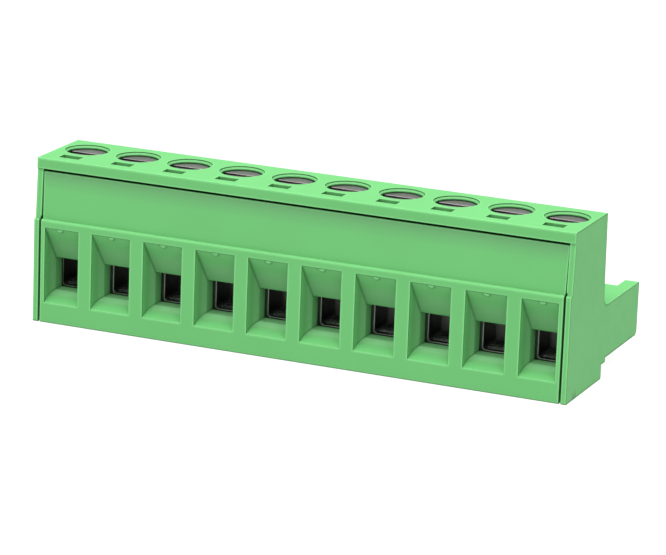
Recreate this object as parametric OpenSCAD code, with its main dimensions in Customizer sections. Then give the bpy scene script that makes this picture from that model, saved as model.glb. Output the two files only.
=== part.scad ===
// Pluggable screw terminal block for wires that enter from the front, opposite the header.
// Each wire goes in at a front funnel, into a rising cage. Turning the slotted screw lifts the
// cage and clamps the wire against the current bar above it. The bar runs back into a two-leaf
// socket in the nose, which plugs over the square pins of a board header.
//
// X runs along the row of poles, +Y points at the header and +Z is up, in millimetres. The sub-parts
// are drawn from the front plane and the base plane, and placed() then puts the origin on the base
// plane, under the middle of the whole block. The clamps are drawn open, as delivered.

/* [Poles] */
// Number of poles in the row
pole_count = 10; // [2:1:16]
// Distance between neighbouring poles
pitch = 5.08; // [5:0.01:6.35]

/* [Housing] */
// Height from the base to the screw deck
body_h = 15; // [14.5:0.1:18]
// Thickness of the rear wall behind the contacts, at the deck
rear_wall_t = 0.85; // [0.65:0.05:1.4]
// Extra depth that the back of the body gains from the deck down to the base
back_draft = 0.5; // [0.4:0.1:1]
// Distance from the front plane to the end of the nose
total_depth = 18.2; // [17:0.1:21]
// Thickness of the end walls beside the funnel block
end_skin = 0.47; // [0.3:0.01:0.5]
// Height of the lip that overhangs the cover
lip_h = 0.97; // [0.8:0.01:1.2]
// Distance of the lip behind the front plane
lip_inset = 0.45; // [0.3:0.05:0.6]
// Distance of the end walls behind the front plane, just above the lower frame
wall_foot_inset = 0.28; // [0.2:0.02:0.4]
// Distance of the end walls behind the front plane, under the lip
wall_head_inset = 0.55; // [0.45:0.05:0.7]
// Clear width of the chamber that holds one cage
chamber_w = 3.96; // [3.94:0.02:4.2]
// Height of the chamber floor above the base
chamber_floor = 2; // [1.6:0.1:2.2]

/* [Nose] */
// Height of the top of the nose
nose_top = 6.54; // [6.4:0.02:7]
// Height of the underside of the nose
nose_bottom = 1.68; // [1.5:0.02:1.8]
// Distance that the end walls of the nose run on past its roof
roof_setback = 2.25; // [1.5:0.05:2.5]
// Thickness of the end walls of the nose
nose_wall = 1.28; // [1:0.02:1.5]
// Radius where the back of the body runs into the nose
nose_fillet = 1; // [0.5:0.1:1.2]
// Clear width of a contact cavity in the nose
cavity_w = 2.9; // [2.8:0.05:3.4]
// Clear height of a contact cavity in the nose
cavity_h = 2.6; // [2.4:0.05:2.8]
// Width of the coding slots between the poles
coding_w = 1; // [0.6:0.1:1.4]

/* [Front cover] */
// Height of the lower frame that holds the funnels
frame_h = 9.5; // [9.3:0.1:10]
// Depth of the funnel block behind the front plane
block_depth = 3.7; // [3.5:0.02:4.2]
// Thickness of the plain band above the funnels
band_t = 1.05; // [0.8:0.05:1.2]
// Distance of the band behind the front edges of the end walls
band_inset = 0.1; // [0.05:0.05:0.2]
// Gap between the funnel block and the end walls beside it
cover_gap = 0.21; // [0.16:0.01:0.22]
// Gap between the plain band and the lip above it
lip_gap = 0.25; // [0.1:0.01:0.3]
// Radius of the top front edge of the frame
frame_round = 0.2; // [0.1:0.05:0.25]

/* [Wire funnels] */
// Width of a funnel at the front
mouth_w = 3.77; // [3.5:0.01:4]
// Height of the lower edge of a funnel at the front
mouth_low = 1.86; // [1.6:0.02:2]
// Height of the upper edge of a funnel at the front
mouth_high = 8.8; // [8.4:0.1:9]
// Width of the throat that leads into the cage
throat_w = 3.56; // [3.2:0.02:3.6]
// Height of the throat floor
throat_low = 2.47; // [2.3:0.01:2.55]
// Height of the throat roof
throat_high = 5.52; // [5.3:0.02:5.6]
// Distance from the front plane to the throat
throat_start = 2.43; // [2:0.01:2.8]
// Width that the two end funnels lose on their outer side
end_trim = 0.42; // [0.3:0.02:0.5]
// Radius of the small nub under the upper edge of each funnel
nub_r = 0.34; // [0.2:0.02:0.4]

/* [Screw deck] */
// Diameter of the driver holes at the deck
driver_hole_d = 4.04; // [3.9:0.02:4.2]
// Depth of the plain rim of a driver hole
rim_h = 0.09; // [0.05:0.01:0.15]
// Width of the sloping ledge under the rim
ledge_w = 0.18; // [0.15:0.01:0.24]
// Height of the sloping ledge
ledge_h = 0.13; // [0.1:0.01:0.2]
// Height of the neck under the ledge, which keeps the screw head in
neck_h = 0.11; // [0.1:0.01:0.3]
// Width of the small marker slots in the deck
marker_w = 1.95; // [1.6:0.05:2.2]
// Length of the marker slots, front to back
marker_l = 1.09; // [0.9:0.01:1.2]
// Distance from the front plane to the marker slots
marker_y = 1.49; // [1.4:0.01:1.6]
// Depth of the marker slots
marker_depth = 0.6; // [0.4:0.05:0.7]

/* [Clamping screw] */
// Diameter of the thread
thread_d = 3; // [2.5:0.1:3]
// Diameter of the head
head_d = 3.8; // [3.7:0.02:3.84]
// Height of the head
head_h = 1.85; // [1.5:0.05:2]
// Width of the driver slot
drive_w = 0.7; // [0.5:0.05:0.8]
// Depth of the driver slot
drive_depth = 0.8; // [0.6:0.05:1]

/* [Clamping cage] */
// Outer width of the cage
cage_w = 3.8; // [3.7:0.02:3.84]
// Length of the cage along the wire
cage_l = 3; // [2.8:0.05:3]
// Thickness of the side walls of the cage
cage_wall = 0.4; // [0.3:0.05:0.5]
// Thickness of the floor of the cage
cage_floor = 0.55; // [0.4:0.05:0.6]
// Thickness of the tapped roof of the cage
cage_roof = 1.8; // [1.4:0.1:2]
// Rise of the cage from open to shut
cage_travel = 3; // [2.5:0.1:3]

/* [Contact] */
// Width of the current bar
bar_w = 2.5; // [2:0.1:2.8]
// Thickness of the current bar
bar_t = 0.8; // [0.6:0.05:0.9]
// Thickness of the upright that seats against the rear wall
web_t = 0.6; // [0.5:0.05:0.65]
// Thickness of the spring leaves
leaf_t = 0.35; // [0.25:0.05:0.4]
// Height of the spring leaves
leaf_h = 2.1; // [1.8:0.1:2.3]
// Gap between the relaxed leaves where they touch the pin
leaf_gap = 0.7; // [0.5:0.05:0.8]
// Gap between the tips of the leaves, where the pin enters
mouth_gap = 1.5; // [1.2:0.05:1.6]

/* [Hidden] */

$fn = 64;
eps = 0.02;
moulding = [0.46, 0.78, 0.48];
plated_steel = [0.72, 0.71, 0.73];
nickel = [0.55, 0.55, 0.56];
tinned_copper = [0.80, 0.77, 0.70];

// The row
row_w = pole_count * pitch;
cover_w = row_w - 2 * (end_skin + cover_gap);
lip_z = body_h - lip_h;
cover_top = lip_z - lip_gap;
chamber_skin = (pitch - chamber_w) / 2;
band_gap = end_skin + cover_gap - chamber_skin;
band_flare = band_gap * 2 / 3;

// The clamp, from the funnel block back
block_play = 0.12;
screw_offset = 0.08;
web_play = 0.13;
cage_y = block_depth + block_play;
screw_y = cage_y + cage_l / 2 - screw_offset;
rear_wall_y = cage_y + cage_l + web_play + web_t;

// The body behind the cover
band_play = 0.05;
partition_y = wall_head_inset + band_inset + band_t + band_play;
deck_back = rear_wall_y + rear_wall_t;
base_back = deck_back + back_draft;
step_run = 0.96;
body_step_y = base_back + step_run;
body_step_z = 1.3;
nose_chamfer = 0.3;
edge_r = 0.12;
roof_end = total_depth - roof_setback;
pin_z = 4;
nose_front_t = 0.5;
nose_roof_t = 0.5;
cavity_end = total_depth - nose_front_t;
mouth_block_top = pin_z + cavity_h / 2 + nose_roof_t;
pin_window = 2;
pin_flare = 0.25;
coding_l = 4.4;

// The funnels
floor_steps = 8;
nub_inset = 0.05;

// The clamp, from the chamber floor up
cage_gap = 0.05;
grip_ribs = 3;
grip_rib = 0.16;
grip_play = 0.04;
bar_play = 0.15;
cage_z = chamber_floor + cage_gap;
wire_floor = cage_z + cage_floor;
bar_z = wire_floor + grip_rib + cage_travel + grip_play;
bar_top = bar_z + bar_t;
cage_window_top = bar_top + bar_play;
cage_top = cage_window_top + cage_roof;
cage_corner = 0.5;
window_corner = 0.25;
thread_clearance = 0.04;

// The screw, from the deck down
head_play = 0.05;
neck_z = body_h - rim_h - ledge_h - neck_h;
head_top = neck_z - head_play;
head_z = head_top - head_h;
head_round = 0.15;
tip_play = 0.03;
screw_tip = bar_top + tip_play;
tip_chamfer = 0.35;
pocket_play = 0.06;
head_room = 0.25;
pocket_z = head_z - head_room;
neck_d = driver_hole_d - 2 * ledge_w;

// The contact, from the rear wall back
leaf_root = 1.8;
leaf_tip_play = 0.5;
leaf_flare = 1.5;
leaf_straight = 2.4;
leaf_end = cavity_end - leaf_tip_play;
leaf_touch = leaf_end - leaf_flare;
leaf_knee = rear_wall_y + leaf_straight;
leaf_steps = 10;
bend_r = 0.7;
shoulder_play = 0.03;
shoulder_drop = 0.4;

// X of pole i, counted from 1 at the -X end
function pole_x(i) = (i - (pole_count + 1) / 2) * pitch;

// Front edge of the end walls above the frame, as Y at height z
function wall_y(z) = wall_foot_inset
    + (wall_head_inset - wall_foot_inset) * (z - frame_h) / (lip_z - frame_h);

// Back of the body, as Y at height z
function back_y(z) = base_back - (base_back - deck_back) * z / body_h;

// Points along an arc round c, from angle a to angle b in degrees
function arc(c, r, a, b, steps = 4) =
    [for (k = [0:steps]) let (t = a + (b - a) * k / steps) c + r * [cos(t), sin(t)]];

// Half the clear gap between the leaves at y: straight, then a cosine pinch, then a flare
function leaf_half(y) =
    y < leaf_knee ? leaf_root / 2
    : y < leaf_touch
        ? leaf_gap / 2 + (leaf_root - leaf_gap) / 2
            * (1 + cos(180 * (y - leaf_knee) / (leaf_touch - leaf_knee))) / 2
    : leaf_gap / 2 + (mouth_gap - leaf_gap) / 2 * pow((y - leaf_touch) / (leaf_end - leaf_touch), 2);

// Puts the origin on the base plane under the middle of the block
module placed() translate([0, -total_depth / 2, 0]) children();

// Carries a side outline, drawn as [y, z], along X and centres it
module along_x(width) rotate([90, 0, 90]) linear_extrude(width, center = true) children();

// A box from its lowest corner, centred on X
module slab(w, y0, y1, z0, z1) translate([-w / 2, y0, z0]) cube([w, y1 - y0, z1 - z0]);

// A rectangle from [0, 0] centred on X, with round corners
module round_rect(w, h, r) {
    translate([-w / 2 + r, 0]) square([w - 2 * r, h]);
    translate([-w / 2, r]) square([w, h - 2 * r]);
    for (x = [-w / 2 + r, w / 2 - r], y = [r, h - r]) translate([x, y]) circle(r);
}

// Side outline of the end walls, clockwise from the base: lower frame, raked front, lip, deck,
// drafted back, nose and the step under the nose
module side_outline() {
    nose_root = back_y(nose_top + nose_fillet);
    polygon(concat(
        arc([edge_r, edge_r], edge_r, 270, 180),
        arc([edge_r, frame_h - edge_r], edge_r, 180, 90),
        [[wall_foot_inset, frame_h], [wall_head_inset, lip_z], [lip_inset, lip_z]],
        arc([lip_inset + edge_r, body_h - edge_r], edge_r, 180, 90),
        arc([deck_back - edge_r, body_h - edge_r], edge_r, 90, 0),
        arc([nose_root + nose_fillet, nose_top + nose_fillet], nose_fillet, 180, 270),
        arc([total_depth - edge_r, nose_top - edge_r], edge_r, 90, 0),
        [
            [total_depth, nose_bottom + nose_chamfer], [total_depth - nose_chamfer, nose_bottom],
            [body_step_y, nose_bottom], [body_step_y, body_step_z], [back_y(body_step_z), body_step_z]
        ],
        arc([base_back - edge_r, edge_r], edge_r, 0, -90)
    ));
}

// Side outline of the cover's plain band, with clearance grown by g
module band_outline(g) {
    polygon([
        [-1, frame_h - 1], [-1, cover_top + g], [partition_y, cover_top + g],
        [partition_y, frame_h - 1]
    ]);
}

// The room that the cover takes up in the housing: its end walls are thinner beside the block
module cover_room() {
    slab(row_w - 2 * end_skin, -1, block_depth, -1, frame_h + cover_gap);
    along_x(row_w - 2 * chamber_skin) band_outline(lip_gap);
}

// The square way in for one pin, flared at the end of the nose
module pin_mouth() {
    flare_w = pin_window + 2 * pin_flare;
    sides = [
        [pin_window / 2, cavity_end - eps], [pin_window / 2, total_depth - pin_flare],
        [flare_w / 2, total_depth], [flare_w / 2, total_depth + 1]
    ];
    half = concat(sides, [for (k = [len(sides) - 1:-1:0]) [-sides[k][0], sides[k][1]]]);
    intersection() {
        translate([0, 0, pin_z - flare_w / 2]) linear_extrude(flare_w) polygon(half);
        along_x(flare_w) polygon([for (p = half) [p[1], pin_z + p[0]]]);
    }
}

// The chamber of one pole, with the pocket and the neck for its screw and the way to the nose
module pole_chamber() {
    pocket_r = head_d / 2 + pocket_play;
    slab(chamber_w, block_depth - eps, rear_wall_y, chamber_floor, pocket_z);
    slab(2 * pocket_r, partition_y - eps, screw_y, pocket_z - eps, lip_z);
    slab(chamber_w, partition_y - eps, block_depth, frame_h + cover_gap, pocket_z);
    translate([0, screw_y, 0]) {
        translate([0, 0, pocket_z - eps]) cylinder(h = neck_z - pocket_z + eps, r = pocket_r);
        translate([0, 0, pocket_z]) cylinder(h = body_h, d = neck_d);
        translate([0, 0, neck_z + neck_h]) cylinder(h = ledge_h, d1 = neck_d, d2 = driver_hole_d);
        translate([0, 0, body_h - rim_h]) cylinder(h = 1, d = driver_hole_d);
    }
    slab(cavity_w, rear_wall_y - eps, cavity_end, pin_z - cavity_h / 2, pin_z + cavity_h / 2);
    pin_mouth();
    slab(marker_w, marker_y, marker_y + marker_l, body_h - marker_depth, body_h + 1);
}

// One coding slot in the roof of the nose, open at the roof's rear edge
module coding_slot() slab(coding_w, roof_end - coding_l, roof_end + eps, mouth_block_top, nose_top + 1);

// One moulding: deck, lip, thin end walls, partitions, rear wall and nose
module housing() color(moulding) placed() {
    inner_w = row_w - 2 * nose_wall;
    difference() {
        along_x(row_w) side_outline();
        cover_room();
        slab(inner_w, roof_end, total_depth + 1, mouth_block_top, nose_top + 1);
        for (i = [1:pole_count]) translate([pole_x(i), 0, 0]) pole_chamber();
        for (i = [1:pole_count - 1]) translate([pole_x(i) + pitch / 2, 0, 0]) coding_slot();
    }
}

// Side outline of one funnel, from the front to the cage. Its floor rises on an arc that runs
// level into the throat
module funnel_side() {
    rise = throat_low - mouth_low;
    r = (throat_start * throat_start + rise * rise) / (2 * rise);
    polygon(concat(
        [[-1, mouth_low]],
        arc([throat_start, throat_low - r], r, 90 + asin(throat_start / r), 90, floor_steps),
        [
            [block_depth + 1, throat_low], [block_depth + 1, throat_high],
            [throat_start, throat_high], [0, mouth_high], [-1, mouth_high]
        ]
    ));
}

// Plan outline of one funnel, with a trim on its -X and +X sides that halves towards the throat
module funnel_plan(trim_left, trim_right) {
    polygon([
        [-mouth_w / 2 + trim_left, -1], [-mouth_w / 2 + trim_left, 0],
        [-throat_w / 2 + trim_left / 2, throat_start], [-throat_w / 2 + trim_left / 2, block_depth + 1],
        [throat_w / 2 - trim_right / 2, block_depth + 1], [throat_w / 2 - trim_right / 2, throat_start],
        [mouth_w / 2 - trim_right, 0], [mouth_w / 2 - trim_right, -1]
    ]);
}

// The hollow of one funnel: where its side outline and its plan outline cross
module funnel(trim_left, trim_right) difference() {
    intersection() {
        along_x(mouth_w) funnel_side();
        linear_extrude(mouth_high + 1) funnel_plan(trim_left, trim_right);
    }
    translate([0, nub_inset, mouth_high]) rotate([-90, 0, 0]) cylinder(h = 1, r = nub_r);
}

// Side outline of the cover: funnel block with a round upper edge, and the raked band above it
module cover_outline() {
    band_back = wall_head_inset + band_inset + band_t;
    polygon(concat(
        arc([edge_r, edge_r], edge_r, 270, 180),
        arc([frame_round, frame_h - frame_round], frame_round, 180, 90),
        [
            [wall_y(frame_h) + band_inset, frame_h], [wall_y(cover_top) + band_inset, cover_top],
            [band_back, cover_top], [band_back, frame_h], [block_depth, frame_h], [block_depth, 0]
        ]
    ));
}

// Front outline of the cover: the band widens upwards, so that its ends close up to the walls
module cover_front() {
    half = cover_w / 2;
    polygon([
        [-half, -1], [-half, frame_h], [-half - band_flare, cover_top], [-half - band_flare, body_h],
        [half + band_flare, body_h], [half + band_flare, cover_top], [half, frame_h], [half, -1]
    ]);
}

// One moulding: the plain band and the row of wire funnels
module front_cover() color(moulding) placed() {
    difference() {
        intersection() {
            along_x(row_w) cover_outline();
            translate([0, total_depth, 0]) rotate([90, 0, 0]) linear_extrude(total_depth + 1) cover_front();
        }
        for (i = [1:pole_count]) {
            translate([pole_x(i), 0, 0]) funnel(i == 1 ? end_trim : 0, i == pole_count ? end_trim : 0);
        }
    }
}

// Captive slotted screw: head, shank and chamfered tip, with the slot along X
module clamp_screw(i) color(plated_steel) placed() translate([pole_x(i), screw_y, 0]) {
    difference() {
        rotate_extrude() polygon([
            [0, screw_tip], [thread_d / 2 - tip_chamfer, screw_tip],
            [thread_d / 2, screw_tip + tip_chamfer], [thread_d / 2, head_z],
            [head_d / 2, head_z], [head_d / 2, head_top - head_round],
            [head_d / 2 - head_round, head_top], [0, head_top]
        ]);
        translate([-head_d, -drive_w / 2, head_top - drive_depth])
            cube([2 * head_d, drive_w, drive_depth + 1]);
    }
}

// Rising cage: a square sleeve round the wire and the bar, tapped for the screw
module clamp_cage(i) color(nickel) placed() translate([pole_x(i), cage_y, 0]) {
    window_w = cage_w - 2 * cage_wall;
    window_h = cage_window_top - wire_floor;
    difference() {
        translate([0, cage_l, 0]) rotate([90, 0, 0]) linear_extrude(cage_l) difference() {
            translate([0, cage_z]) round_rect(cage_w, cage_top - cage_z, cage_corner);
            translate([0, wire_floor]) round_rect(window_w, window_h, window_corner);
        }
        translate([0, screw_y - cage_y, cage_window_top - window_corner])
            cylinder(h = cage_roof + 1, r = thread_d / 2 + thread_clearance);
    }
    for (k = [1:grip_ribs]) {
        translate([0, k * cage_l / (grip_ribs + 1), wire_floor - eps]) along_x(window_w - 2 * window_corner)
            polygon([[-grip_rib, 0], [grip_rib, 0], [0, grip_rib]]);
    }
}

// The two spring leaves of one socket, mirrored about the pin
module spring_leaves() {
    step = (leaf_end - leaf_knee) / leaf_steps;
    ys = concat([rear_wall_y - eps], [for (k = [0:leaf_steps]) leaf_knee + k * step]);
    for (side = [0, 1]) mirror([side, 0, 0]) translate([0, 0, pin_z - leaf_h / 2]) linear_extrude(leaf_h)
        polygon(concat(
            [for (y = ys) [leaf_half(y), y]],
            [for (k = [len(ys) - 1:-1:0]) [leaf_half(ys[k]) + leaf_t, ys[k]]]
        ));
}

// Current bar, the upright that seats on the rear wall, and the socket leaves
module contact(i) color(tinned_copper) placed() translate([pole_x(i), 0, 0]) {
    web_y = rear_wall_y - web_t;
    bend = [rear_wall_y - bend_r, bar_top - bend_r];
    along_x(bar_w) polygon(concat(
        [[cage_y, bar_z], [cage_y, bar_top]],
        arc(bend, bend_r, 90, 0),
        [[rear_wall_y, chamber_floor], [web_y, chamber_floor], [web_y, bar_z]]
    ));
    slab(chamber_w - 2 * shoulder_play, web_y, rear_wall_y, chamber_floor, bar_z - shoulder_drop);
    spring_leaves();
}

housing();
front_cover();
for (i = [1:pole_count]) {
    clamp_screw(i);
    clamp_cage(i);
    contact(i);
}
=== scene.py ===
"""Looks of a ten-pole pluggable screw terminal block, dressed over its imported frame.

The mouldings, cages and contacts keep their construction shapes and get finishes here. The
clamping screws are turned anew, with a real thread and rounded driver slots, and ride on the
bodies of the screws that they stand for. All lengths are metres, in the frame's own axes:
X along the row of poles, -Y towards the wire side, +Z up.
"""

import logging
import math
from dataclasses import dataclass, field
from enum import Enum

import bmesh
import bpy
import numpy as np
from mathutils import Matrix, Vector


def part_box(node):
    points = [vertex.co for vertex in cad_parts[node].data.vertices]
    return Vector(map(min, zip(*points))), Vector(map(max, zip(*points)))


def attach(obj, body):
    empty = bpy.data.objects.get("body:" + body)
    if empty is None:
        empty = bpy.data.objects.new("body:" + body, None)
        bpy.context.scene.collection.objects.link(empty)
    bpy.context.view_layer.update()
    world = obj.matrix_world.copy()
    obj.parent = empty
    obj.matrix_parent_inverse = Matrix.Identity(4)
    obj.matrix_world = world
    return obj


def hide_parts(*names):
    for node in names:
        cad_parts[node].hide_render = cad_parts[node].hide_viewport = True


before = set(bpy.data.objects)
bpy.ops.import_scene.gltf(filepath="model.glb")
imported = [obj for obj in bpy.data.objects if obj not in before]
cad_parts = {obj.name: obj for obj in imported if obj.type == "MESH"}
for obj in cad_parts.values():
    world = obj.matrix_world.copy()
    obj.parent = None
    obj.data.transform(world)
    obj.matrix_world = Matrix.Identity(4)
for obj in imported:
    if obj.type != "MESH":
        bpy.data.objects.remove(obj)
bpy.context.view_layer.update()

log = logging.getLogger("terminal_block")

MM = 0.001
Colour = tuple[float, float, float]
Point = tuple[float, float, float]
Span = tuple[float, float]
Socket = bpy.types.NodeSocket

# The colour sockets of the Mix node, which shares its socket names with other data types.
MIX_LOWER, MIX_UPPER, MIX_RESULT = 6, 7, 2

# The mesh attribute that holds each point of a turned piece as seen from its turning axis.
LATHE = "lathe"


class Slot(Enum):
    """The record's material slots."""

    HOUSING = "housing_plastic"
    COVER = "cover_plastic"
    SCREW = "screw_steel"
    CAGE = "cage_nickel"
    CONTACT = "contact_tin"


# --- Node graphs ------------------------------------------------------------------------------


class Graph:
    """A shader node tree with short ways to add and join nodes."""

    def __init__(self, tree: bpy.types.NodeTree) -> None:
        """Takes a tree.

        Args:
            tree: The node tree of a material, a group or the sky.
        """
        self.tree = tree

    def fill(self, node: bpy.types.Node, sockets: dict) -> bpy.types.Node:
        """Fills or links inputs of a node.

        Args:
            node: The node.
            sockets: Input name or index to a value or an output socket.

        Returns:
            The same node.
        """
        for name, value in sockets.items():
            if isinstance(value, Socket):
                self.tree.links.new(value, node.inputs[name])
            else:
                node.inputs[name].default_value = value
        return node

    def add(self, kind: str, sockets: dict | None = None, **settings) -> bpy.types.Node:
        """Adds a node, sets its settings and fills or links its inputs.

        Args:
            kind: The node's type name, without "ShaderNode".
            sockets: Input name or index to a value or an output socket.
            **settings: Attributes of the node itself.

        Returns:
            The new node.
        """
        node = self.tree.nodes.new("ShaderNode" + kind)
        for name, value in settings.items():
            setattr(node, name, value)
        return self.fill(node, sockets or {})

    def use(self, group: bpy.types.NodeTree, **values: float) -> bpy.types.Node:
        """Places a shared group.

        Args:
            group: The shared group.
            **values: The group's inputs.

        Returns:
            The group node.
        """
        return self.fill(self.add("Group", node_tree=group), values)

    def place(self) -> Socket:
        """Reads where a point lies on the object.

        Returns:
            The point, in metres.
        """
        return self.add("TexCoord").outputs["Object"]

    def axis(self, letter: str, vector: Socket | None = None) -> Socket:
        """One component of a vector.

        Args:
            letter: X, Y or Z.
            vector: The vector, or None for the point on the object.

        Returns:
            The component.
        """
        return self.add("SeparateXYZ", {0: vector or self.place()}).outputs[letter]

    def dot(self, a: Socket, b: Socket | Point) -> Socket:
        """The dot product of two vectors.

        Args:
            a: First vector.
            b: Second vector.

        Returns:
            The product.
        """
        return self.add("VectorMath", {0: a, 1: b}, operation="DOT_PRODUCT").outputs["Value"]

    def maths(self, operation: str, *values: Socket | float, clamp: bool = False) -> Socket:
        """One arithmetic step.

        Args:
            operation: The Math node's operation.
            *values: Values or sockets, in the node's order.
            clamp: True to hold the result between 0 and 1.

        Returns:
            The result.
        """
        sockets = dict(enumerate(values))
        return self.add("Math", sockets, operation=operation, use_clamp=clamp).outputs[0]

    def times(self, first: Socket | float, *factors: Socket | float) -> Socket | float:
        """The product of values and sockets.

        Args:
            first: First value or socket.
            *factors: What it is multiplied by, one after the other.

        Returns:
            The product.
        """
        product = first
        for factor in factors:
            product = self.maths("MULTIPLY", product, factor)
        return product

    def apart(self, a: Socket, b: Socket | float) -> Socket:
        """How far two values lie apart.

        Args:
            a: First value.
            b: Second value.

        Returns:
            Their difference without its sign.
        """
        return self.maths("ABSOLUTE", self.maths("SUBTRACT", a, b))

    def remap(self, value: Socket, span: Span, to: Span = (0.0, 1.0)) -> Socket:
        """Stretches one span to another and clamps at both ends.

        Args:
            value: The socket to stretch.
            span: Start and end of the span read, in either order.
            to: What is given at the start and at the end.

        Returns:
            The stretched value.
        """
        ends = {"From Min": span[0], "From Max": span[1], "To Min": to[0], "To Max": to[1]}
        return self.add("MapRange", {"Value": value} | ends).outputs["Result"]

    def tint(self, factor: Socket, lower: Socket | tuple, upper: Socket | tuple) -> Socket:
        """Lays one colour over another.

        Args:
            factor: How much of the upper colour shows, 0 to 1.
            lower: The lower colour, RGBA or socket.
            upper: The upper colour, RGBA or socket.

        Returns:
            The mixed colour.
        """
        sockets = {0: factor, MIX_LOWER: lower, MIX_UPPER: upper}
        return self.add("Mix", sockets, data_type="RGBA").outputs[MIX_RESULT]

    def speckle(self, place: Socket, scale: Socket | float, detail: float) -> Socket:
        """Soft noise read at a place.

        Args:
            place: The point to read.
            scale: Number of features per metre.
            detail: Number of finer layers.

        Returns:
            A value round 0.5.
        """
        sockets = {"Vector": place, "Scale": scale, "Detail": detail}
        return self.add("TexNoise", sockets).outputs["Fac"]

    def streaks(self, scale: float, stretch: Point = (1.0, 1.0, 1.0)) -> Socket:
        """Rougher noise over the object, drawn out along some axes.

        Args:
            scale: Number of features per metre.
            stretch: Factor on the scale along X, Y and Z; a small one makes long streaks.

        Returns:
            A value round 0.5.
        """
        mapped = self.add("Mapping", {"Vector": self.place(), "Scale": stretch})
        sockets = {"Vector": mapped.outputs[0], "Scale": scale, "Detail": 2.0, "Roughness": 0.55}
        return self.add("TexNoise", sockets).outputs["Fac"]

    def bump(self, height: Socket, normal: Socket, strength: float, depth: float) -> Socket:
        """Raises a surface in the shading alone.

        Args:
            height: Height from 0 to 1.
            normal: The normal to start from.
            strength: Share of the effect.
            depth: Height of 1, in metres.

        Returns:
            The new normal.
        """
        sockets = {"Height": height, "Normal": normal, "Strength": strength, "Distance": depth}
        return self.add("Bump", sockets).outputs[0]


@dataclass(frozen=True)
class EdgeReading:
    """What the edge group takes for an edge, a corner, a gap or a sunk place.

    Each span runs from the reading at which a mask starts to the one at which it is full.
    """

    radius: float = 0.1 * MM
    shading_share: float = 0.3
    edge: Span = (0.9995, 0.975)
    # Direction of the light, up and to the front: edges that face it get a painted highlight, edges
    # that face away get painted shade.
    toward: Point = (0.05, -0.28, 0.41)
    exposure: Span = (0.25, 0.50)
    upward: Span = (0.10, 0.70)
    upward_light: float = 0.45
    corner_reach: float = 0.3 * MM
    corner: Span = (0.86, 0.50)
    gap_reach: float = 1.0 * MM
    gap: Span = (0.55, 0.20)
    recess: Span = (0.96, 0.70)
    bevel_rays: int = 6
    shelter_rays: int = 8


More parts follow.
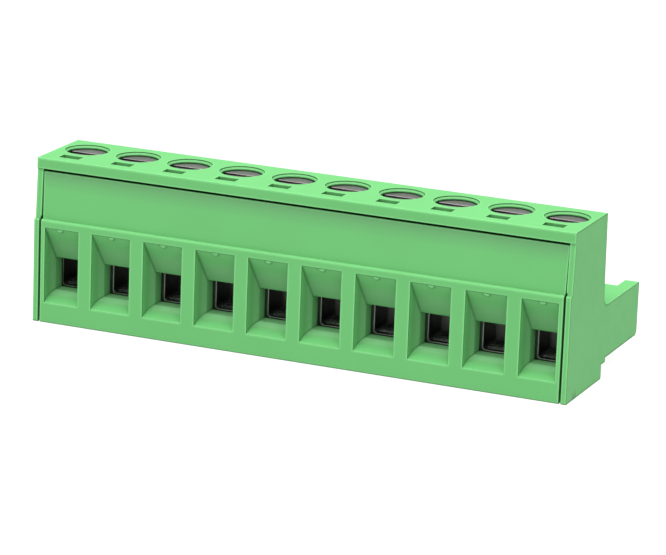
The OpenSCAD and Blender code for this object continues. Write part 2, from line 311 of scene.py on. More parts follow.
class Effects:
    """Shader groups that several finishes share, each built once."""

    def __init__(self) -> None:
        """Builds the groups."""
        self.edges = self._edges(EdgeReading())
        self.grain = self._grain()
        self.clouds = self._clouds()

    @staticmethod
    def _group(
        name: str, inputs: dict[str, float], outputs: dict[str, str]
    ) -> tuple[Graph, bpy.types.Node, bpy.types.Node]:
        """Starts a node group.

        Args:
            name: Name of the group.
            inputs: Input names with their first values.
            outputs: Output names with their socket types.

        Returns:
            The group's graph, its input node and its output node.
        """
        tree = bpy.data.node_groups.new(name, "ShaderNodeTree")
        for label, value in inputs.items():
            socket = tree.interface.new_socket(
                label, in_out="INPUT", socket_type="NodeSocketFloat"
            )
            socket.default_value = value
        for label, kind in outputs.items():
            tree.interface.new_socket(label, in_out="OUTPUT", socket_type=kind)
        graph = Graph(tree)
        return graph, tree.nodes.new("NodeGroupInput"), tree.nodes.new("NodeGroupOutput")

    def _edges(self, reading: EdgeReading) -> bpy.types.NodeTree:
        """Rounds the edges in the shading, and makes masks for painted highlights and shade.

        The rounded normal leaves the face's own normal only within the radius of an edge, so
        the less their dot product is than one, the nearer the edge. The sum of both normals
        against the direction of the light, up and to the front, says whether an edge gets a
        painted highlight or painted shade. Edges that face up count less, as they are bright
        already. Short rays tell how much is shut off round a point: much in a corner, and nearly
        all in a narrow gap; these masks carry painted shade. The normal put out is rounded over
        a share of the radius only.

        Args:
            reading: The thresholds.

        Returns:
            The group: Radius in; rounded Normal, Edge, the painted highlight mask Lit, the
            painted shade mask Shade, Corner, Gap and Recess out.
        """
        masks = ("Edge", "Lit", "Shade", "Corner", "Gap", "Recess")
        outputs = {"Normal": "NodeSocketVector"} | {name: "NodeSocketFloat" for name in masks}
        graph, given, result = self._group("rounded_edges", {"Radius": reading.radius}, outputs)
        radius = given.outputs["Radius"]
        small = graph.times(radius, reading.shading_share)
        soft = graph.add("Bevel", {"Radius": small}, samples=reading.bevel_rays).outputs[0]
        rounded = graph.add("Bevel", {"Radius": radius}, samples=reading.bevel_rays).outputs[0]
        flat = graph.add("NewGeometry").outputs["Normal"]
        both = graph.add("VectorMath", {0: rounded, 1: flat}, operation="ADD").outputs[0]
        exposure = graph.remap(graph.dot(both, reading.toward), reading.exposure, (-1.0, 1.0))
        near, wide = (
            graph.add(
                "AmbientOcclusion", {"Distance": reach}, samples=reading.shelter_rays
            ).outputs["AO"]
            for reach in (reading.corner_reach, reading.gap_reach)
        )
        corner = graph.remap(near, reading.corner)
        clear = graph.maths("SUBTRACT", 1.0, corner, clamp=True)
        edge = graph.times(graph.remap(graph.dot(rounded, flat), reading.edge), clear)
        damped = graph.remap(
            graph.axis("Z", rounded), reading.upward, (1.0, reading.upward_light)
        )
        # Painted highlight where an edge faces the light, painted shade where it faces away.
        highlit = graph.maths("MAXIMUM", exposure, 0.0)
        shaded = graph.maths("MAXIMUM", graph.times(exposure, -1.0), 0.0)
        found = {
            "Normal": soft,
            "Edge": edge,
            "Lit": graph.times(edge, damped, highlit),
            "Shade": graph.times(edge, shaded),
            "Corner": corner,
            "Gap": graph.remap(wide, reading.gap),
            "Recess": graph.remap(wide, reading.recess),
        }
        graph.fill(result, found)
        return graph.tree

    def _grain(self) -> bpy.types.NodeTree:
        """Fine surface grain: two sizes of noise added together.

        Returns:
            The group: Fine and Coarse features per metre in; Height and Fleck out.
        """
        fine_share, fleck_span = 0.6, (0.56, 0.74)
        outputs = {"Height": "NodeSocketFloat", "Fleck": "NodeSocketFloat"}
        inputs = {"Fine": 9000.0, "Coarse": 2200.0}
        graph, given, result = self._group("surface_grain", inputs, outputs)
        place = graph.place()
        fine = graph.speckle(place, given.outputs["Fine"], 2.0)
        coarse = graph.speckle(place, given.outputs["Coarse"], 1.0)
        shares = graph.times(fine, fine_share), graph.times(coarse, 1.0 - fine_share)
        height = graph.maths("ADD", *shares)
        graph.fill(result, {"Height": height, "Fleck": graph.remap(fine, fleck_span)})
        return graph.tree

    def _clouds(self) -> bpy.types.NodeTree:
        """Slow change of tone over a surface, with a thin handling film in it.

        Returns:
            The group: Scale in features per metre in; Tone and Film out.
        """
        tone_span, film_span, film_ratio = (0.3, 0.7), (0.45, 0.7), 6.0
        outputs = {"Tone": "NodeSocketFloat", "Film": "NodeSocketFloat"}
        graph, given, result = self._group("slow_tone", {"Scale": 120.0}, outputs)
        place, scale = graph.place(), given.outputs["Scale"]
        tone = graph.speckle(place, scale, 3.0)
        film = graph.speckle(place, graph.times(scale, film_ratio), 4.0)
        found = {"Tone": graph.remap(tone, tone_span), "Film": graph.remap(film, film_span)}
        graph.fill(result, found)
        return graph.tree


def rgba(colour: Colour, factor: float = 1.0) -> tuple[float, float, float, float]:
    """The colour times a factor, as RGBA.

    Args:
        colour: The colour.
        factor: The factor on each of its parts, which stay at 1 or below.

    Returns:
        Red, green, blue and a full alpha.
    """
    red, green, blue = (min(part * factor, 1.0) for part in colour)
    return (red, green, blue, 1.0)


def blank_material(name: str) -> tuple[bpy.types.Material, Graph, bpy.types.Node]:
    """Starts a material with one plain shader.

    Args:
        name: Name of the material.

    Returns:
        The material, its graph and its shader.
    """
    material = bpy.data.materials.new(name)
    material.use_nodes = True
    graph = Graph(material.node_tree)
    return material, graph, material.node_tree.nodes["Principled BSDF"]


# --- Finishes ---------------------------------------------------------------------------------


@dataclass(frozen=True)
class HolePaintedShade:
    """Painted shade at the driver holes: a shadow line in each rim, and darker ledges and
    marker slots below the deck.

    Each span runs from where a mark starts to where it is full: below the deck, beside the
    rim line, inside the rim and beside a slot.
    """

    pitch: float
    row_y: float
    deck_z: float
    sunk: Span = (0.004 * MM, 0.012 * MM)
    radius: float = 2.02 * MM
    rim_h: float = 0.09 * MM
    rim_fade: float = 0.02 * MM
    rim_line: Span = (0.035 * MM, 0.015 * MM)
    rim_shade: float = 0.78
    rim_tone: float = 0.16
    inner: Span = (0.01 * MM, 0.03 * MM)
    ledge_shade: float = 0.22
    marker_y: float = -7.065 * MM
    marker_w: float = 1.09 * MM
    marker_side: Span = (0.03 * MM, 0.01 * MM)
    marker_shade: float = 0.50
    painted_shade_tone: float = 0.35

    def add(self, graph: Graph, tone: Socket, colour: Colour, recess: Socket) -> Socket:
        """Lays the painted shade over a colour.

        The distance from the nearest hole's axis comes from X folded by the pitch, because an
        even row has its axes half a pitch off the middle, and from Y.

        Args:
            graph: The material's graph.
            tone: The colour so far.
            colour: The moulding's plain colour.
            recess: Mask of the places that lie sunk, which tells the marker slots from outer
                faces.

        Returns:
            The marked colour.
        """
        place = graph.add("SeparateXYZ", {0: graph.place()}).outputs
        in_pitches = graph.maths("DIVIDE", place["X"], self.pitch)
        folded = graph.times(graph.maths("FRACT", in_pitches), self.pitch)
        x = graph.maths("SUBTRACT", folded, self.pitch / 2)
        y = graph.maths("SUBTRACT", place["Y"], self.row_y)
        r = graph.maths("SQRT", graph.maths("ADD", graph.times(x, x), graph.times(y, y)))
        below = graph.remap(place["Z"], (self.deck_z - self.sunk[0], self.deck_z - self.sunk[1]))
        rim_z = self.deck_z - self.rim_h
        top = graph.remap(place["Z"], (rim_z - self.rim_fade, rim_z))
        at_rim = graph.remap(graph.apart(r, self.radius), self.rim_line, (0.0, self.rim_shade))
        inside = (self.radius - self.inner[0], self.radius - self.inner[1])
        ledge = graph.times(graph.remap(r, inside, (0.0, self.ledge_shade)), below)
        sides = (self.marker_w / 2 + self.marker_side[0], self.marker_w / 2 + self.marker_side[1])
        across = graph.apart(place["Y"], self.marker_y)
        slot = graph.times(graph.remap(across, sides, (0.0, self.marker_shade)), below, recess)
        # Painted shade on the ledges and in the marker slots.
        painted_shade = graph.maths("MAXIMUM", ledge, slot)
        tone = graph.tint(painted_shade, tone, rgba(colour, self.painted_shade_tone))
        # Painted shadow line in the rim.
        return graph.tint(graph.times(at_rim, top, below), tone, rgba(colour, self.rim_tone))


@dataclass(frozen=True)
class FunnelPaintedLight:
    """Painted light in the funnels, round the plane where the throats start.

    The faces carry a painted grey for the greyer light inside the funnels. Walls and floors
    get a painted fill light towards the plane, which steps down behind it as painted shade in
    the throat, and a painted highlight runs along the edges at the plane and at the throat's
    end. Each span is read from the plane, away from the wire side, from none to full.
    """

    plane_y: float
    painted_grey: float = 0.11
    painted_grey_colour: Colour = (0.60, 0.60, 0.60)
    painted_grey_span: Span = (-1.7 * MM, -0.8 * MM)
    pale: float = 0.75
    pale_colour: Colour = (0.33, 0.75, 0.355)
    pale_span: Span = (-1.3 * MM, -0.05 * MM)
    pale_behind: float = 0.30
    step_span: Span = (-0.01 * MM, 0.05 * MM)
    start_light: float = 0.9
    start_sides: Span = (0.10 * MM, 0.03 * MM)
    end_light: float = 0.6
    end_span: Span = (1.15 * MM, 1.23 * MM)

    def depth(self, graph: Graph) -> Socket:
        """How far a point lies behind the plane.

        Args:
            graph: The material's graph.

        Returns:
            The depth in metres, negative in front.
        """
        return graph.maths("SUBTRACT", graph.axis("Y"), self.plane_y)

    def add(self, graph: Graph, tone: Socket) -> Socket:
        """Lays the painted grey and the painted fill light over a colour.

        Args:
            graph: The material's graph.
            tone: The colour so far.

        Returns:
            The marked colour.
        """
        depth = self.depth(graph)
        # Painted grey in the funnels.
        painted_grey_share = graph.remap(depth, self.painted_grey_span, (0.0, self.painted_grey))
        tone = graph.tint(painted_grey_share, tone, rgba(self.painted_grey_colour))
        # Painted fill light towards the plane, less behind it: painted shade in the throat.
        towards = graph.remap(depth, self.pale_span, (0.0, self.pale))
        behind = graph.remap(depth, self.step_span, (1.0, self.pale_behind))
        facing = graph.add("NewGeometry").outputs["Normal"]
        sideways = graph.maths("ABSOLUTE", graph.axis("X", facing))
        wall_or_floor = graph.maths("MAXIMUM", sideways, graph.axis("Z", facing), clamp=True)
        pale = graph.times(towards, behind, wall_or_floor)
        return graph.tint(pale, tone, rgba(self.pale_colour))

    def lines(self, graph: Graph, edge: Socket) -> Socket:
        """The painted highlights at both ends of the throat.

        Args:
            graph: The material's graph.
            edge: Mask of the edges.

        Returns:
            Their mask.
        """
        depth = self.depth(graph)
        at_start = graph.maths("ABSOLUTE", depth)
        start = graph.remap(at_start, self.start_sides, (0.0, self.start_light))
        end = graph.remap(depth, self.end_span, (0.0, self.end_light))
        return graph.times(graph.maths("MAXIMUM", start, end), edge)


@dataclass(frozen=True)
class LipHighlight:
    """The painted highlight along the lower edge of the lip."""

    edge_z: float
    sides: Span = (0.14 * MM, 0.08 * MM)

    def mask(self, graph: Graph, edge: Socket) -> Socket:
        """Keeps the edges at the height of the lip's lower edge.

        Args:
            graph: The material's graph.
            edge: Mask of the edges.

        Returns:
            The mask of the line.
        """
        return graph.times(graph.remap(graph.apart(graph.axis("Z"), self.edge_z), self.sides), edge)


@dataclass(frozen=True)
class OverhangShade:
    """The soft grey shade below the lip, on the top of the cover's band."""

    top_z: float
    reach: float = 1.6 * MM
    share: float = 0.52
    colour: Colour = (0.112, 0.205, 0.118)

    def add(self, graph: Graph, tone: Socket) -> Socket:
        """Lays the shade over a colour.

        Args:
            graph: The material's graph.
            tone: The colour so far.

        Returns:
            The shaded colour.
        """
        span = (self.top_z - self.reach, self.top_z)
        shade = graph.remap(graph.axis("Z"), span, (0.0, self.share))
        return graph.tint(shade, tone, rgba(self.colour))


@dataclass(frozen=True)
class Layer:
    """A layer over a colour: how much of it shows, and its tone against the plain colour."""

    share: float
    tone: float


@dataclass(frozen=True)
class MouldedPolyamide:
    """Green polyamide out of a finely eroded tool: satin, with painted highlights on its edges
    and painted shade on edges that face away, in corners and in gaps.
    """

    name: str
    colour: Colour = (0.122, 0.408, 0.134)
    tone_range: Span = (0.975, 1.025)
    cloud_scale: float = 110.0
    grain_scales: Span = (9000.0, 2600.0)
    fleck: Layer = Layer(0.10, 1.25)
    edge_radius: float = 0.26 * MM
    # Painted highlight on the edges that face the light: its share and its colour.
    edge_light: float = 0.72
    edge_highlight_colour: Colour = (0.222, 0.615, 0.240)
    # Painted shade on edges that face away from the light, in corners and in gaps.
    edge_shade: Layer = Layer(0.85, 0.30)
    corner_shade: Layer = Layer(0.24, 0.20)
    gap_shade: Layer = Layer(0.60, 0.18)
    roughness: float = 0.50
    film_roughness: float = 0.07
    edge_polish: float = 0.10
    grain_strength: float = 0.22
    grain_depth: float = 0.02 * MM
    specular: float = 0.12
    holes: HolePaintedShade | None = None
    funnels: FunnelPaintedLight | None = None
    lip: LipHighlight | None = None
    overhang: OverhangShade | None = None

    def make(self, effects: Effects) -> bpy.types.Material:
        """Builds the material.

        Args:
            effects: The shared groups.

        Returns:
            The material.
        """
        material, graph, shader = blank_material(self.name)
        edges = graph.use(effects.edges, Radius=self.edge_radius).outputs
        grain = graph.use(effects.grain, Fine=self.grain_scales[0], Coarse=self.grain_scales[1])
        clouds = graph.use(effects.clouds, Scale=self.cloud_scale).outputs
        dark, light = (rgba(self.colour, factor) for factor in self.tone_range)
        tone = graph.tint(clouds["Tone"], dark, light)
        flecks = graph.times(grain.outputs["Fleck"], self.fleck.share)
        tone = graph.tint(flecks, tone, rgba(self.colour, self.fleck.tone))
        lit = edges["Lit"]
        if self.funnels:
            tone = self.funnels.add(graph, tone)
            lit = graph.maths("MAXIMUM", lit, self.funnels.lines(graph, edges["Edge"]))
        if self.overhang:
            tone = self.overhang.add(graph, tone)
        if self.lip:
            lit = graph.maths("MAXIMUM", lit, self.lip.mask(graph, edges["Edge"]))
        # Painted shade on edges that face away from the light, in corners and in gaps.
        layers = {"Shade": self.edge_shade, "Corner": self.corner_shade, "Gap": self.gap_shade}
        for mask, layer in layers.items():
            share = graph.times(edges[mask], layer.share)
            tone = graph.tint(share, tone, rgba(self.colour, layer.tone))
        # Painted highlight on the edges that face the light.
        tone = graph.tint(graph.times(lit, self.edge_light), tone, rgba(self.edge_highlight_colour))
        if self.holes:
            tone = self.holes.add(graph, tone, self.colour, edges["Recess"])
        filmed = graph.maths("MULTIPLY_ADD", clouds["Film"], self.film_roughness, self.roughness)
        polish = graph.times(lit, self.edge_polish)
        height = grain.outputs["Height"]
        graph.fill(shader, {
            "Base Color": tone,
            "Roughness": graph.maths("SUBTRACT", filmed, polish, clamp=True),
            "Normal": graph.bump(height, edges["Normal"], self.grain_strength, self.grain_depth),
            "Specular IOR Level": self.specular,
        })
        return material


@dataclass(frozen=True)
class TurnedSteel:
    """Plated steel from a lathe: fine rings on the head, painted highlights on the edges and
    painted shade in the slot.

    The slot's painted shade starts just below its edges and is darkest towards one of its ends.
    """

    name: str
    colour: Colour = (0.30, 0.27, 0.285)
    tone_range: Span = (0.90, 1.06)
    cloud_scale: float = 420.0
    film: float = 0.25
    film_colour: Colour = (0.26, 0.235, 0.245)
    slot_shade: float = 0.9
    slot_shade_colour: Colour = (0.055, 0.065, 0.055)
    slot_shade_depths: Span = (-0.002 * MM, -0.05 * MM)
    slot_shade_along: Span = (-0.2 * MM, -0.9 * MM)
    slot_shade_least: float = 0.30
    edge_radius: float = 0.12 * MM
    edge_light: float = 0.15
    edge_highlight_colour: Colour = (0.52, 0.49, 0.50)
    ring_scale: float = 14000.0
    roughness: float = 0.31
    ring_roughness: float = 0.16
    ring_strength: float = 0.25
    ring_depth: float = 0.008 * MM

    def make(self, effects: Effects) -> bpy.types.Material:
        """Builds the material.

        The rings are noise read at the distance from the screw's axis, which each screw's mesh
        carries with it as an attribute.

        Args:
            effects: The shared groups.

        Returns:
            The material.
        """
        material, graph, shader = blank_material(self.name)
        turned = graph.add("Attribute", attribute_name=LATHE).outputs["Vector"]
        level = graph.add("VectorMath", {0: turned, 1: (1.0, 1.0, 0.0)}, operation="MULTIPLY")
        radius = graph.add("VectorMath", {0: level.outputs[0]}, operation="LENGTH").outputs["Value"]
        depth = graph.axis("Z", turned)
        ring_place = graph.add("CombineXYZ", {0: radius, 1: depth}).outputs[0]
        rings = graph.speckle(ring_place, self.ring_scale, 2.0)
        edges = graph.use(effects.edges, Radius=self.edge_radius).outputs
        clouds = graph.use(effects.clouds, Scale=self.cloud_scale).outputs
        dark, light = (rgba(self.colour, factor) for factor in self.tone_range)
        tone = graph.tint(clouds["Tone"], dark, light)
        tone = graph.tint(graph.times(clouds["Film"], self.film), tone, rgba(self.film_colour))
        # Painted shade in the driver slot, darkest towards one end.
        within = graph.remap(depth, self.slot_shade_depths, (0.0, self.slot_shade))
        along = graph.remap(graph.axis("X", turned), self.slot_shade_along, (self.slot_shade_least, 1.0))
        tone = graph.tint(graph.times(within, along), tone, rgba(self.slot_shade_colour))
        # Painted highlight on the edges.
        lit = graph.times(edges["Edge"], self.edge_light)
        graph.fill(shader, {
            "Base Color": graph.tint(lit, tone, rgba(self.edge_highlight_colour)),
            "Roughness": graph.maths("MULTIPLY_ADD", rings, self.ring_roughness, self.roughness),
            "Normal": graph.bump(rings, edges["Normal"], self.ring_strength, self.ring_depth),
            "Metallic": 1.0,
        })
        return material


@dataclass(frozen=True)
class SheetMetal:
    """Stamped and plated sheet: grain rolled along the wire, and painted highlights on the edges.
    """

    name: str
    colour: Colour
    edge_highlight_colour: Colour
    roughness: float = 0.36
    film_roughness: float = 0.12
    tone_range: Span = (0.86, 1.10)
    cloud_scale: float = 380.0
    edge_radius: float = 0.14 * MM
    edge_light: float = 0.85
    grain_scale: float = 9000.0
    grain_stretch: Point = (1.0, 0.08, 1.0)
    grain: Layer = Layer(0.35, 1.25)
    grain_strength: float = 0.3
    grain_depth: float = 0.008 * MM

    def make(self, effects: Effects) -> bpy.types.Material:
        """Builds the material.

        Args:
            effects: The shared groups.

        Returns:
            The material.
        """
        material, graph, shader = blank_material(self.name)
        edges = graph.use(effects.edges, Radius=self.edge_radius).outputs
        clouds = graph.use(effects.clouds, Scale=self.cloud_scale).outputs
        rolled = graph.streaks(self.grain_scale, self.grain_stretch)
        dark, light = (rgba(self.colour, factor) for factor in self.tone_range)
        tone = graph.tint(clouds["Tone"], dark, light)
        streaked = graph.times(rolled, self.grain.share)
        tone = graph.tint(streaked, tone, rgba(self.colour, self.grain.tone))
        # Painted highlight on the edges.
        lit = graph.times(edges["Edge"], self.edge_light)
        film = graph.maths("MULTIPLY_ADD", clouds["Film"], self.film_roughness, self.roughness)
        graph.fill(shader, {
            "Base Color": graph.tint(lit, tone, rgba(self.edge_highlight_colour)),
            "Roughness": film,
            "Normal": graph.bump(rolled, edges["Normal"], self.grain_strength, self.grain_depth),
            "Metallic": 1.0,
        })
        return material


@dataclass(frozen=True)
class StudioPaper:
    """The pale floor: matt, and lit from below as a light table is."""

    name: str = "studio_paper"
    colour: Colour = (0.12, 0.12, 0.12)
    tone_range: Span = (0.995, 1.005)
    cloud_scale: float = 6.0
    roughness: float = 0.9
    specular: float = 0.1
    glow: float = 0.93

    def make(self) -> bpy.types.Material:
        """Builds the material, with a faint change of tone.

        Returns:
            The material.
        """
        material, graph, shader = blank_material(self.name)
        dark, light = (rgba(self.colour, factor) for factor in self.tone_range)
        graph.fill(shader, {
            "Base Color": graph.tint(graph.streaks(self.cloud_scale), dark, light),
            "Roughness": self.roughness,
            "Specular IOR Level": self.specular,
            "Emission Color": (1.0, 1.0, 1.0, 1.0),
            "Emission Strength": self.glow,
        })
        return material


# --- Mesh work --------------------------------------------------------------------------------


@dataclass
class Shell:
    """A closed mesh gathered from grids of points.

    Points nearer than the weld distance become one, and edges shorter than a sliver go. Both
    are in metres, as the points are. Edges bent past the sharp angle, in degrees, are drawn
    sharp.
    """

    name: str
    weld: float = 1e-7
    sliver: float = 1e-8
    sharp: float = 38.0
    points: list[np.ndarray] = field(default_factory=list)
    faces: list[np.ndarray] = field(default_factory=list)
    count: int = 0

    def add(self, grid: np.ndarray, wrap: bool = False) -> None:
        """Adds a grid of points with quads between its neighbours.

        Args:
            grid: Points as an array of rows, columns and XYZ.
            wrap: True where the last column joins the first.
        """
        rows, columns = grid.shape[:2]
        starts = np.arange(columns if wrap else columns - 1)
        i, j = np.meshgrid(np.arange(rows - 1), starts, indexing="ij")
        here, beyond = i * columns, (i + 1) * columns
        k = (j + 1) % columns
        quads = np.stack([here + j, here + k, beyond + k, beyond + j], axis=-1)
        self.points.append(grid.reshape(-1, 3))
        self.faces.append(quads.reshape(-1, 4) + self.count)
        self.count += rows * columns

    def build(self, material: bpy.types.Material, lathe: np.ndarray) -> bpy.types.Object:
        """Welds the grids into one object with faces outwards.

        Args:
            material: The finish.
            lathe: Origin of the turning axis. The points as seen from it are kept with the
                mesh as an attribute.

        Returns:
            The object, at the origin, with its place in its mesh.
        """
        mesh = bpy.data.meshes.new(self.name)
        points = np.concatenate(self.points)
        mesh.from_pydata(points.tolist(), [], np.concatenate(self.faces).tolist())
        work = bmesh.new()
        work.from_mesh(mesh)
        bmesh.ops.remove_doubles(work, verts=work.verts, dist=self.weld)
        bmesh.ops.dissolve_degenerate(work, edges=work.edges, dist=self.sliver)
        bmesh.ops.recalc_face_normals(work, faces=work.faces)
        work.to_mesh(mesh)
        work.free()
        mesh.polygons.foreach_set("use_smooth", np.ones(len(mesh.polygons), dtype=bool))
        mesh.set_sharp_from_angle(angle=math.radians(self.sharp))
        flat = np.empty(len(mesh.vertices) * 3, dtype=np.float32)
        mesh.vertices.foreach_get("co", flat)
        local = flat.reshape(-1, 3) - lathe.astype(np.float32)
        turned = mesh.attributes.new(LATHE, "FLOAT_VECTOR", "POINT")
        turned.data.foreach_set("vector", local.ravel())
        mesh.materials.append(material)
        mesh.update()
        piece = bpy.data.objects.new(self.name, mesh)
        bpy.context.scene.collection.objects.link(piece)
        return piece


def dress_node(name: str, material: bpy.types.Material, slot: Slot) -> None:
    """Gives a construction node a finish in every one of its slots.

    Args:
        name: The node.
        material: The finish.
        slot: The record's slot that the finish stands for, for the log.
    """
    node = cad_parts[name]
    if not node.data.materials:
        node.data.materials.append(material)
    for place in node.material_slots:
        place.material = material
    log.info("dressed %s as %s", name, slot.value)


# --- Sub-assemblies ---------------------------------------------------------------------------


@dataclass
class Mouldings:
    """The housing and its front cover, which keep their construction shapes.

    The throats start at a plane behind the cover's front, where the funnels' painted light
    steps. The lip's lower edge lies a gap above the top of the cover.
    """

    pitch: float = 5.08 * MM
    throat_start: float = 2.43 * MM
    lip_gap: float = 0.25 * MM

    def dress(self, effects: Effects) -> None:
        """Gives both mouldings their finish.

        Args:
            effects: The shared groups.
        """
        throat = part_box("front_cover")[0][1] + self.throat_start
        screw = [(a + b) / 2 for a, b in zip(*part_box("clamp_screw_1"))]
        holes = HolePaintedShade(pitch=self.pitch, row_y=screw[1], deck_z=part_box("housing")[1][2])
        band_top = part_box("front_cover")[1][2]
        lip = LipHighlight(band_top + self.lip_gap)
        housing = MouldedPolyamide("green_polyamide_housing", holes=holes, lip=lip)
        cover = MouldedPolyamide(
            "green_polyamide_cover",
            colour=(0.124, 0.411, 0.136),
            funnels=FunnelPaintedLight(throat),
            overhang=OverhangShade(band_top),
        )
        dress_node("housing", housing.make(effects), Slot.HOUSING)
        dress_node("front_cover", cover.make(effects), Slot.COVER)


@dataclass
class ScrewSet:
    """The ten captive clamping screws, turned with a thread and a driver slot.

    The tip's flat lies inside its chamfer by the inset, and the thread's last ring lies above
    the flat by the rise.
    """

    count: int = 10
    slot_w: float = 0.70 * MM
    slot_depth: float = 0.80 * MM
    slot_round: float = 0.03 * MM
    slot_draft: float = 0.012 * MM
    rim_round: float = 0.15 * MM
    head_h: float = 1.85 * MM
    head_edge: float = 0.06 * MM
    neck_step: float = 0.12 * MM
    thread_d: float = 3.0 * MM
    thread_pitch: float = 0.5 * MM
    thread_depth: float = 0.27 * MM
    crest_power: float = 1.5
    run_out_turns: float = 1.2
    tip_chamfer: float = 0.35 * MM
    tip_inset: float = 0.05 * MM
    tip_rise: float = 0.02 * MM
    top_steps: int = 22
    brow_steps: int = 5
    root_steps: int = 4
    columns: int = 41
    rows_per_turn: int = 6
    finish: TurnedSteel = TurnedSteel("plated_screw_steel")

    def slot_profile(self, radius: float) -> np.ndarray:
        """The head's top seen along the slot, as [y, drop] from one side to the other.

        Flat top at even steps of the angle whose sine is y over the radius, a quarter round
        into the slot, a slightly drafted wall, a quarter round onto the floor, and the same
        mirrored.

        Args:
            radius: Radius of the head.

        Returns:
            Rows of y and of the height below the top, which is negative.
        """
        half, r, d = self.slot_w / 2, self.slot_round, self.slot_depth
        quarter = math.pi / 2
        turn = np.linspace(-quarter, -math.asin((half + r) / radius), self.top_steps)
        top = np.stack([radius * np.sin(turn), np.zeros_like(turn)], axis=-1)
        a = np.linspace(0, quarter, self.brow_steps)[1:]
        brow = np.stack([-(half + r) + r * np.sin(a), -r + r * np.cos(a)], axis=-1)
        inner = half - self.slot_draft
        wall = np.array([[-(half + inner) / 2, -(d + r) / 2]])
        b = np.linspace(0, quarter, self.root_steps)
        root = np.stack([-inner + r - r * np.cos(b), -d + r - r * np.sin(b)], axis=-1)
        floor = [[-inner / 3, -d]]
        left = np.concatenate([top, brow, wall, root, floor])
        return np.concatenate([left, left[::-1] * [-1, 1]])

    def thread_radius(
        self, z: np.ndarray, turn: np.ndarray, head_z: float, tip_z: float
    ) -> np.ndarray:
        """Radius of the thread at heights and angles.

        It is the outer radius less the thread's depth times a power of the raised cosine of z
        over the pitch less the angle over a turn, which climbs to the right. The depth runs out
        below the head, and a chamfer cuts the tip.

        Args:
            z: Heights, from the head down.
            turn: Angles round the axis.
            head_z: Height of the head's underside.
            tip_z: Height of the tip.

        Returns:
            Radii as rows of heights and columns of angles.
        """
        outer = self.thread_d / 2
        phase = z[:, None] / self.thread_pitch - turn[None, :] / (2 * math.pi)
        wave = (1 + np.cos(2 * math.pi * phase)) / 2
        run_out = np.clip((head_z - z) / (self.run_out_turns * self.thread_pitch), 0, 1)[:, None]
        chamfer = np.clip((z - tip_z) / self.tip_chamfer, 0, 1)[:, None]
        limit = outer - self.tip_chamfer * (1 - chamfer)
        return np.minimum(outer - self.thread_depth * wave ** self.crest_power * run_out, limit)

    def body_rows(
        self, radius: float, head_z: float, tip_z: float, turn: np.ndarray
    ) -> np.ndarray:
        """The head's side, its underside, the thread and the tip, as rings at the given angles.

        Args:
            radius: Radius of the head.
            head_z: Height of the head's underside.
            tip_z: Height of the tip.
            turn: Angles round the axis.

        Returns:
            Points as rings from the head's side down to the middle of the tip.
        """
        outer = self.thread_d / 2
        steps = int((head_z - tip_z) / self.thread_pitch * self.rows_per_turn)
        z = np.linspace(head_z - self.head_edge, tip_z + self.tip_rise, steps)
        thread = self.thread_radius(z, turn, head_z, tip_z)
        head_radii = [radius, radius - self.head_edge, outer + self.neck_step]
        head_heights = [head_z + self.head_edge, head_z, head_z]
        tip_radii = [outer - self.tip_chamfer - self.tip_inset, 0.0]
        head, tip = (
            np.stack([np.full_like(turn, value) for value in radii])
            for radii in (head_radii, tip_radii)
        )
        r = np.concatenate([head, thread, tip])
        heights = np.concatenate([head_heights, z, [tip_z, tip_z]])
        rise = heights[:, None] * np.ones_like(turn)[None, :]
        return np.stack([r * np.cos(turn), r * np.sin(turn), rise], axis=-1)

    def turn_one(self, index: int, material: bpy.types.Material) -> bpy.types.Object:
        """Makes one screw in the place of its construction solid.

        The head's top is the slot profile carried along X to the head's edge, and lowered near
        the rim by a quarter round: a point's height is the lower of the two.

        Args:
            index: Pole number from 1.
            material: The finish.

        Returns:
            The screw.
        """
        low, high = (np.array(corner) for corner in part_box(f"clamp_screw_{index}"))
        centre = (low + high) / 2
        radius = (high[0] - low[0]) / 2
        profile = self.slot_profile(radius)
        y = profile[:, 0]
        reach = np.sqrt(np.maximum(radius ** 2 - y ** 2, 0))
        across = np.sin(np.linspace(-1, 1, self.columns) * math.pi / 2)
        x = reach[:, None] * across[None, :]
        r = np.hypot(x, y[:, None])
        into = np.clip(r - (radius - self.rim_round), 0, self.rim_round)
        rim = self.rim_round - np.sqrt(np.maximum(self.rim_round ** 2 - into ** 2, 0))
        z = high[2] + np.minimum(profile[:, 1][:, None], -rim)
        top = np.stack([x, np.broadcast_to(y[:, None], x.shape), z], axis=-1)
        loop = np.concatenate([top[:, -1], top[-2:0:-1, 0]])
        turn = np.arctan2(loop[:, 1], loop[:, 0])
        rings = self.body_rows(radius, high[2] - self.head_h, low[2], turn)
        shift = np.array([centre[0], centre[1], 0.0])
        shell = Shell(f"screw_{index}_turned")
        shell.add(top + shift)
        shell.add(np.concatenate([loop[None], rings]) + shift, wrap=True)
        piece = shell.build(material, lathe=np.array([centre[0], centre[1], high[2]]))
        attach(piece, f"screw_{index}")
        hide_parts(f"clamp_screw_{index}")
        return piece

    def build(self, effects: Effects) -> list[bpy.types.Object]:
        """Makes all screws.

        Args:
            effects: The shared groups.

        Returns:
            The screws in the order of the poles.
        """
        material = self.finish.make(effects)
        return [self.turn_one(i, material) for i in range(1, self.count + 1)]


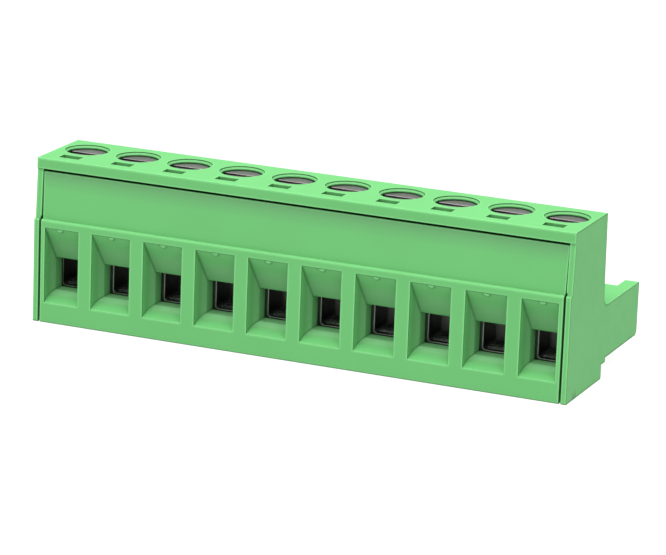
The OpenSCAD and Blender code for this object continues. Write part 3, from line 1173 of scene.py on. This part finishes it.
@dataclass
class MetalParts:
    """The rising cages and the contacts, which keep their construction shapes."""

    count: int = 10
    # The near-black cage and the dark grey contact are painted shade: plated metal darkened so that
    # the insides of the cages read black. Their pale edge colours are painted highlights.
    cage: SheetMetal = SheetMetal(
        "nickel_plated_cage", colour=(0.10, 0.10, 0.10), edge_highlight_colour=(0.80, 0.80, 0.78)
    )
    contact: SheetMetal = SheetMetal(
        "tinned_contact",
        colour=(0.26, 0.25, 0.24),
        edge_highlight_colour=(0.60, 0.58, 0.54),
        roughness=0.42,
    )

    def dress(self, effects: Effects) -> None:
        """Gives cages and contacts their finish.

        Args:
            effects: The shared groups.
        """
        cage, contact = self.cage.make(effects), self.contact.make(effects)
        for index in range(1, self.count + 1):
            dress_node(f"clamp_cage_{index}", cage, Slot.CAGE)
            dress_node(f"contact_{index}", contact, Slot.CONTACT)


# --- Studio -----------------------------------------------------------------------------------


@dataclass
class StudioCamera:
    """A long lens in front of the wire side, a little to the right and above.

    Angles are in degrees. Lens and sensor are in millimetres, as Blender takes them.
    """

    azimuth: float = 22.75
    elevation: float = 15.36
    roll: float = 2.16
    distance: float = 325.63 * MM
    target: Point = (1.54 * MM, -4.10 * MM, 6.66 * MM)
    lens: float = 200.6
    sensor: float = 36.0
    clip: Span = (0.01, 20.0)

    def build(self) -> None:
        """Makes the camera and sets it as the scene's.

        The camera's back is (sin a cos e, -cos a cos e, sin e) for azimuth a and elevation e;
        it stands that way from the target at its distance, turned by the roll.
        """
        a, e, roll = (math.radians(v) for v in (self.azimuth, self.elevation, self.roll))
        back = Vector((math.sin(a) * math.cos(e), -math.cos(a) * math.cos(e), math.sin(e)))
        level = Vector((0, 0, 1)).cross(back).normalized()
        upright = back.cross(level)
        right = level * math.cos(roll) + upright * math.sin(roll)
        up = upright * math.cos(roll) - level * math.sin(roll)
        data = bpy.data.cameras.new("studio_camera")
        data.lens, data.sensor_width = self.lens, self.sensor
        data.clip_start, data.clip_end = self.clip
        camera = bpy.data.objects.new("studio_camera", data)
        stand = Matrix.Translation(Vector(self.target) + back * self.distance)
        camera.matrix_world = stand @ Matrix((right, up, back)).transposed().to_4x4()
        bpy.context.scene.collection.objects.link(camera)
        bpy.context.scene.camera = camera


@dataclass(frozen=True)
class Softbox:
    """One large soft light, aimed at the block."""

    name: str
    place: Point
    size: tuple[float, float]
    power: float

    def build(self, aim: Vector) -> None:
        """Makes the light.

        Args:
            aim: The point that it faces.
        """
        data = bpy.data.lights.new(self.name, "AREA")
        data.shape, data.energy = "RECTANGLE", self.power
        data.size, data.size_y = self.size
        light = bpy.data.objects.new(self.name, data)
        light.location = self.place
        light.rotation_euler = (aim - Vector(self.place)).to_track_quat("-Z", "Y").to_euler()
        bpy.context.scene.collection.objects.link(light)


@dataclass
class Studio:
    """The pale floor, the soft lights, the sky and the plain grading."""

    floor_size: float = 6.0
    floor_drop: float = 0.02 * MM
    aim: Point = (0.0, 0.0, 8.0 * MM)
    sky: float = 0.45
    backdrop: float = 1.0
    lights: tuple[Softbox, ...] = (
        Softbox("overhead_softbox", (0.00, 0.05, 1.00), (1.6, 1.6), 21.0),
        Softbox("front_softbox", (0.074, -0.525, 0.848), (1.0, 0.8), 8.0),
    )

    def build(self) -> None:
        """Makes floor, lights, sky and grading."""
        self.lay_floor()
        for light in self.lights:
            light.build(Vector(self.aim))
        self.hang_sky()
        bpy.context.scene.view_settings.view_transform = "Standard"
        bpy.context.scene.view_settings.look = "None"

    def lay_floor(self) -> None:
        """Makes the floor, a hair below the block's base."""
        half, z = self.floor_size / 2, -self.floor_drop
        corners = [(-half, -half, z), (half, -half, z), (half, half, z), (-half, half, z)]
        mesh = bpy.data.meshes.new("studio_floor")
        mesh.from_pydata(corners, [], [(0, 1, 2, 3)])
        mesh.materials.append(StudioPaper().make())
        floor = bpy.data.objects.new("studio_floor", mesh)
        bpy.context.scene.collection.objects.link(floor)

    def hang_sky(self) -> None:
        """Makes the sky. The camera sees it as white paper behind the floor."""
        world = bpy.data.worlds.new("studio_sky")
        world.use_nodes = True
        graph = Graph(world.node_tree)
        seen = graph.add("LightPath").outputs["Is Camera Ray"]
        strength = graph.remap(seen, (0.0, 1.0), (self.sky, self.backdrop))
        background = world.node_tree.nodes["Background"]
        graph.fill(background, {"Color": (1.0, 1.0, 1.0, 1.0), "Strength": strength})
        bpy.context.scene.world = world


def main() -> None:
    """Builds the camera, the studio and every piece in order."""
    logging.basicConfig(level=logging.INFO, format="%(name)s: %(message)s")
    StudioCamera().build()
    Studio().build()
    effects = Effects()
    Mouldings().dress(effects)
    MetalParts().dress(effects)
    for screw in ScrewSet().build(effects):
        log.info("turned %s with %d faces", screw.name, len(screw.data.polygons))


if __name__ == "__main__":
    main()
